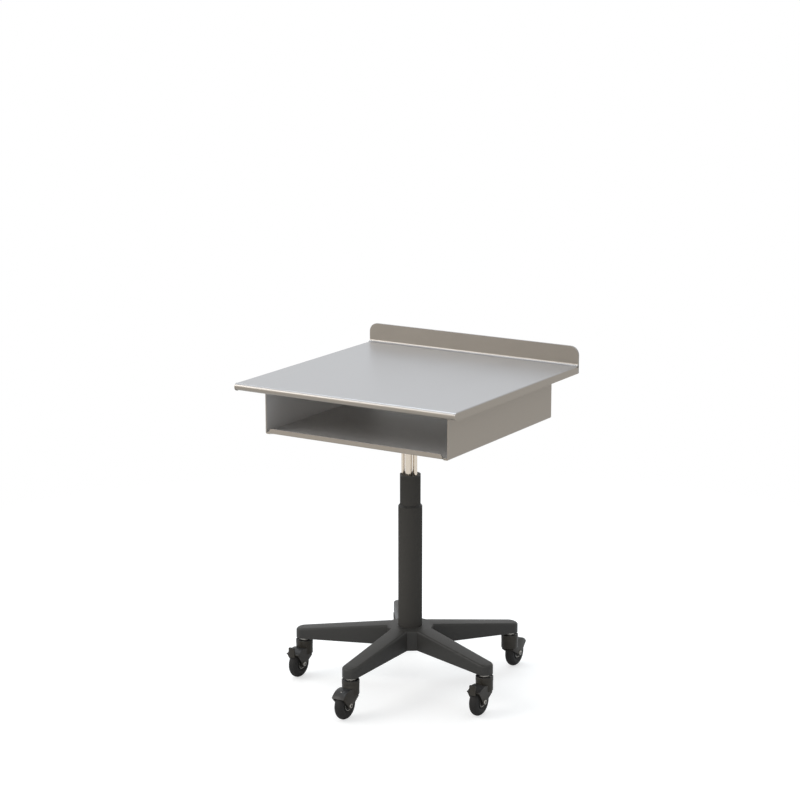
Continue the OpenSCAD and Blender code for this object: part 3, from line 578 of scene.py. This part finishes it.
def standCopies(model, name, materials, body, replaced, only=None):
    for place, (arm, turn, braked) in casterSet["places"].items():
        if only is not None and braked != only:
            continue
        piece = bpy.data.objects.new(name + place.title().replace("_", ""), model.data.copy())
        scene.collection.objects.link(piece)
        out = casterSet["ring"] * mm
        stem = Vector((out * math.cos(math.radians(arm)), out * math.sin(math.radians(arm)) + axisY, 0))
        piece.data.transform(Matrix.Translation(stem) @ Matrix.Rotation(math.radians(turn), 4, "Z"))
        for index, material in enumerate(materials):
            if index < len(piece.data.materials):
                piece.data.materials[index] = material
            else:
                piece.data.materials.append(material)
        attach(piece, body.replace("*", place))
        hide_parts(replaced.replace("*", place))
    bpy.data.objects.remove(model)


yokeSet = dict(hood=31.5, halfWide=13.5, sheet=2.0, drum=17, drumLow=46, drumTop=66, clear=29.9, cheek=11.2,
               boss=7, inner=5.6, plainEnd=36, plainFoot=-40, brakeEnd=46, brakeFoot=-12, front=-16.2,
               backFoot=215, keepFore=(20, 130), keepBack=(20, 100), easing=0.55, dotAt=67, dot=1.1,
               dotFlat=0.5, fineSides=96, bossSides=48)


def ringPoint(radius, degrees):
    return Vector((casterSet["trail"] + radius * math.cos(math.radians(degrees)), 0,
                   casterSet["axle"] + radius * math.sin(math.radians(degrees)))) * mm


# removes what lies on the far side of a line in x and z, seen from the point keep
def cutAlong(piece, start, end, keep):
    along = end - start
    across = Vector((along.z, 0, -along.x)).normalized()
    if (keep - start).dot(across) > 0:
        across = -across
    openPiece(piece, everything=True)
    bpy.ops.mesh.bisect(plane_co=start, plane_no=across, clear_outer=True, clear_inner=False, use_fill=False)
    closePiece()


def makeYoke(braked):
    y = yokeSet
    end, foot = (y["brakeEnd"], y["brakeFoot"]) if braked else (y["plainEnd"], y["plainFoot"])
    middle = (casterSet["trail"], casterSet["axle"])
    guard = drumPart(y["hood"], -y["halfWide"], y["halfWide"], middle, y["fineSides"], "Y", "yoke")
    tip = ringPoint(y["hood"], end)
    cutAlong(guard, tip, ringPoint(y["inner"], foot), ringPoint(*y["keepFore"]))
    cutAlong(guard, Vector((y["front"], 0, y["drumLow"])) * mm, ringPoint(y["inner"], y["backFoot"]),
             ringPoint(*y["keepBack"]))
    shape(guard, "SOLIDIFY", thickness=y["sheet"] * mm, offset=-1, use_even_offset=True)
    openPiece(guard, everything=True)
    bpy.ops.mesh.normals_make_consistent(inside=False)
    closePiece()
    for side in (-1, 1):
        low, high = sorted((side * (y["halfWide"] - y["sheet"]), side * y["halfWide"]))
        combine(guard, drumPart(y["boss"], low, high, middle, y["bossSides"], "Y"), "UNION")
    drum = drumPart(y["drum"], y["drumLow"], y["drumTop"])
    combine(drum, drumPart(y["clear"], -y["cheek"], y["cheek"], middle, y["fineSides"], "Y"), "DIFFERENCE")
    combine(guard, drum, "UNION")
    openPiece(guard, everything=True)
    bpy.ops.mesh.remove_doubles(threshold=weld["cut"])
    bpy.ops.mesh.dissolve_limited(angle_limit=math.radians(weld["cutFlat"]))
    closePiece()
    ease(guard, y["easing"], 2)
    # the plain hood's small dome is a real pip, given bright zinc so that it shows as the bright dot: partly
    # a painted highlight
    if not braked:  # a rivet shows as a bright dot on a plain hood
        giveMaterials(guard, yokePlastic, zincPlate)
        clearPick()
        at = ringPoint(y["hood"], y["dotAt"])
        bpy.ops.mesh.primitive_uv_sphere_add(segments=24, ring_count=12, radius=y["dot"] * mm, location=at)
        dot = bpy.context.object
        dot.scale = (1, 1, y["dotFlat"])
        dot.rotation_euler = (0, math.radians(90 - y["dotAt"]), 0)
        settle(dot)
        giveMaterials(dot, yokePlastic, zincPlate)
        openPiece(dot, everything=True)
        assignSlot(dot, 1)
        closePiece()
        hold(guard)
        dot.select_set(True)
        bpy.ops.object.join()
    smooth(guard, 35)
    return guard


standCopies(makeYoke(False), "yoke", [yokePlastic, zincPlate], "caster_*", "fork_*",
            only=False)
standCopies(makeYoke(True), "yoke", [yokePlastic], "caster_*", "fork_*", only=True)

pedalSet = dict(at=(43.706, 53.135), pin=1.5, pinHalf=13.5, tabNear=44.7, tabFar=47.7, tabHalf=7, tabLow=51.6,
                tabTop=68.1, lip=1.0, lipDrop=3.5, lipSteps=2, corner=2.5, cornerSteps=5, easing=0.45,
                neckIn=1, neckHigh=2.7)


def makePedal():
    p = pedalSet
    clearPick()
    bpy.ops.mesh.primitive_cube_add(size=1, location=((p["tabNear"] + p["tabFar"]) / 2 * mm, 0,
                                                      (p["tabLow"] + p["tabTop"]) / 2 * mm))
    tab = bpy.context.object
    tab.name = "pedal"
    tab.scale = ((p["tabFar"] - p["tabNear"]) * mm, 2 * p["tabHalf"] * mm, (p["tabTop"] - p["tabLow"]) * mm)
    settle(tab)
    openPiece(tab)
    pickFaces(tab, lambda c, n: n.z < -0.9)
    for step in range(p["lipSteps"]):  # the lower end turns outwards into a lip
        bpy.ops.mesh.extrude_region_move(TRANSFORM_OT_translate={
            "value": (p["lip"] / p["lipSteps"] * mm, 0, -p["lipDrop"] / p["lipSteps"] * mm)})
    high = lambda v: v.z > (p["tabTop"] - p["corner"]) * mm
    pickEdges(tab, lambda a, b: high(a) and high(b) and abs(a.x - b.x) > p["lip"] * mm)
    bpy.ops.mesh.bevel(offset=p["corner"] * mm, segments=p["cornerSteps"])
    closePiece()
    ease(tab, p["easing"], 2, 35)
    start, end = p["at"][0], p["tabNear"] + p["neckIn"]
    bpy.ops.mesh.primitive_cube_add(size=1, location=((start + end) / 2 * mm, 0, p["at"][1] * mm))
    neck = bpy.context.object
    neck.scale = ((end - start) * mm, 2 * (p["tabHalf"] - p["neckIn"]) * mm, p["neckHigh"] * mm)
    settle(neck)
    pin = drumPart(p["pin"], -p["pinHalf"], p["pinHalf"], p["at"], 40, "Y")
    combine(tab, neck, "UNION")
    combine(tab, pin, "UNION")
    smooth(tab, 35)
    return tab


standCopies(makePedal(), "pedal", [yokePlastic], "brake_*", "brake_*", only=True)

capSet = dict(round=17.3, low=66, top=74.2, edge=0.8, edgeSteps=4, rim=1.6, sunk=1.8)


def makeCap():
    c = capSet
    cap = drumPart(c["round"], c["low"], c["top"], name="cap")
    openPiece(cap)
    pickFaces(cap, lambda m, n: n.z > 0.9)
    bpy.ops.mesh.region_to_loop()
    bpy.ops.mesh.bevel(offset=c["edge"] * mm, segments=c["edgeSteps"])
    pickFaces(cap, lambda m, n: n.z > 0.999)
    bpy.ops.mesh.inset(thickness=c["rim"] * mm)
    bpy.ops.mesh.extrude_region_move(TRANSFORM_OT_translate={"value": (0, 0, -c["sunk"] * mm)})
    closePiece()
    smooth(cap, 40)
    return cap


standCopies(makeCap(), "swivelCap", [yokePlastic], "caster_*", "cap_*")

stemSet = dict(washer=11, washerLow=73.2, washerTop=79, washerEase=0.5, stem=5, stemLow=57.2, stemTop=93,
               stemEase=0.6, rivet=6.5, rivetLow=55.3, rivetEase=0.8)


def makeStem():
    t = stemSet
    stem = drumPart(t["stem"], t["stemLow"], t["stemTop"], sides=48, name="stem")
    openPiece(stem)
    pickFaces(stem, lambda m, n: abs(n.z) > 0.9)
    bpy.ops.mesh.region_to_loop()
    bpy.ops.mesh.bevel(offset=t["stemEase"] * mm, segments=2)
    closePiece()
    washer = drumPart(t["washer"], t["washerLow"], t["washerTop"], sides=64)
    ease(washer, t["washerEase"], 3)
    combine(stem, washer, "UNION")
    rivet = drumPart(t["rivet"], t["rivetLow"], t["stemLow"] + t["stemEase"], sides=48)
    ease(rivet, t["rivetEase"], 3)
    combine(stem, rivet, "UNION")
    smooth(stem, 35)
    return stem


standCopies(makeStem(), "stem", [zincPlate], "base", "caster_stems")

wheelSet = dict(halfWide=9.5, ring=19.5, inside=12.2, groove=(15.2, 16.6), grooveDeep=0.35, tread=28.8,
                treadDeep=0.12, core=13.4, hubFace=9.3, hubEase=0.8, rim=12.2, dish=1.5, boss=7.0,
                bossHigh=2.1, seal=10.2, sealThick=0.6, sealAt=8.1)


def makeTyre():
    w = wheelSet
    clearPick()
    bpy.ops.mesh.primitive_torus_add(major_segments=96, minor_segments=36, major_radius=w["ring"] * mm,
                                     minor_radius=w["halfWide"] * mm, rotation=(math.pi / 2, 0, 0),
                                     location=(casterSet["trail"] * mm, 0, casterSet["axle"] * mm))
    tyre = bpy.context.object
    settle(tyre)
    reach = lambda v: math.hypot(v.x / mm - casterSet["trail"], v.z / mm - casterSet["axle"])
    openPiece(tyre)
    pickFaces(tyre, lambda m, n: reach(m) < w["inside"])  # the hub fills the inside
    bpy.ops.mesh.delete(type="FACE")
    pickFaces(tyre, lambda m, n: w["groove"][0] < reach(m) < w["groove"][1])  # a groove round each side
    bpy.ops.mesh.extrude_region_shrink_fatten(TRANSFORM_OT_shrink_fatten={"value": -w["grooveDeep"] * mm})
    pickFaces(tyre, lambda m, n: reach(m) > w["tread"])  # and the mould line round the tread
    bpy.ops.mesh.extrude_region_shrink_fatten(TRANSFORM_OT_shrink_fatten={"value": -w["treadDeep"] * mm})
    closePiece()
    smooth(tyre, 40)
    return tyre


standCopies(makeTyre(), "tread", [tyreRubber], "wheel_*", "tyre_*")


def makeHub():
    w = wheelSet
    middle = (casterSet["trail"], casterSet["axle"])
    hub = drumPart(w["core"], -w["hubFace"], w["hubFace"], middle, axis="Y", name="hub")
    openPiece(hub)
    pickFaces(hub, lambda m, n: abs(n.y) > 0.9)
    bpy.ops.mesh.region_to_loop()
    bpy.ops.mesh.bevel(offset=w["hubEase"] * mm, segments=2)
    closePiece()
    for side in (-1, 1):  # each face is dished, with a boss round the axle
        openPiece(hub)
        pickFaces(hub, lambda m, n: n.y * side > 0.999)
        bpy.ops.mesh.inset(thickness=(w["core"] - w["rim"]) * mm)
        bpy.ops.mesh.extrude_region_move(TRANSFORM_OT_translate={"value": (0, -side * w["dish"] * mm, 0)})
        bpy.ops.mesh.inset(thickness=(w["rim"] - w["boss"]) * mm)
        bpy.ops.mesh.extrude_region_move(TRANSFORM_OT_translate={"value": (0, side * w["bossHigh"] * mm, 0)})
        closePiece()
    smooth(hub, 35)
    return hub


standCopies(makeHub(), "hub", [wheelPlastic], "wheel_*", "wheel_*")


def makeSeal():
    w = wheelSet
    rings = []
    for side in (-1, 1):
        clearPick()
        place = (casterSet["trail"], side * w["sealAt"], casterSet["axle"])
        bpy.ops.mesh.primitive_torus_add(major_segments=72, minor_segments=12, major_radius=w["seal"] * mm,
                                         minor_radius=w["sealThick"] * mm, rotation=(math.pi / 2, 0, 0),
                                         location=[v * mm for v in place])
        rings.append(bpy.context.object)
    hold(rings[0])
    rings[1].select_set(True)
    bpy.ops.object.join()
    settle(rings[0])
    smooth(rings[0], 60)
    return rings[0]


standCopies(makeSeal(), "bearingRing", [zincPlate], "wheel_*", "bearing_*")

axleSet = dict(round=4.3, face=15.6, low=12.9, ease=0.35, rim=1.35, sunk=1.1, rod=2.9, rodHalf=13.1)


def makeAxle():
    a = axleSet
    middle = (casterSet["trail"], casterSet["axle"])
    axle = drumPart(a["rod"], -a["rodHalf"], a["rodHalf"], middle, 40, "Y", "axle")
    giveMaterials(axle, zincPlate)
    for side in (-1, 1):
        low, high = sorted((side * a["low"], side * a["face"]))
        head = drumPart(a["round"], low, high, middle, 48, "Y")
        giveMaterials(head, zincPlate, wheelPlastic)
        openPiece(head)
        outFace = lambda m, n: n.y * side > 0.999
        pickFaces(head, outFace)
        bpy.ops.mesh.region_to_loop()
        bpy.ops.mesh.bevel(offset=a["ease"] * mm, segments=2)
        pickFaces(head, outFace)
        bpy.ops.mesh.inset(thickness=a["rim"] * mm)
        bpy.ops.mesh.extrude_region_move(TRANSFORM_OT_translate={"value": (0, -side * a["sunk"] * mm, 0)})
        assignSlot(head, 1)  # the sunk middle of the head is dark
        closePiece()
        hold(axle)
        head.select_set(True)
        bpy.ops.object.join()
    smooth(axle, 35)
    return axle


standCopies(makeAxle(), "axle", [zincPlate, wheelPlastic], "caster_*", "axle_*")
print("casters modelled")
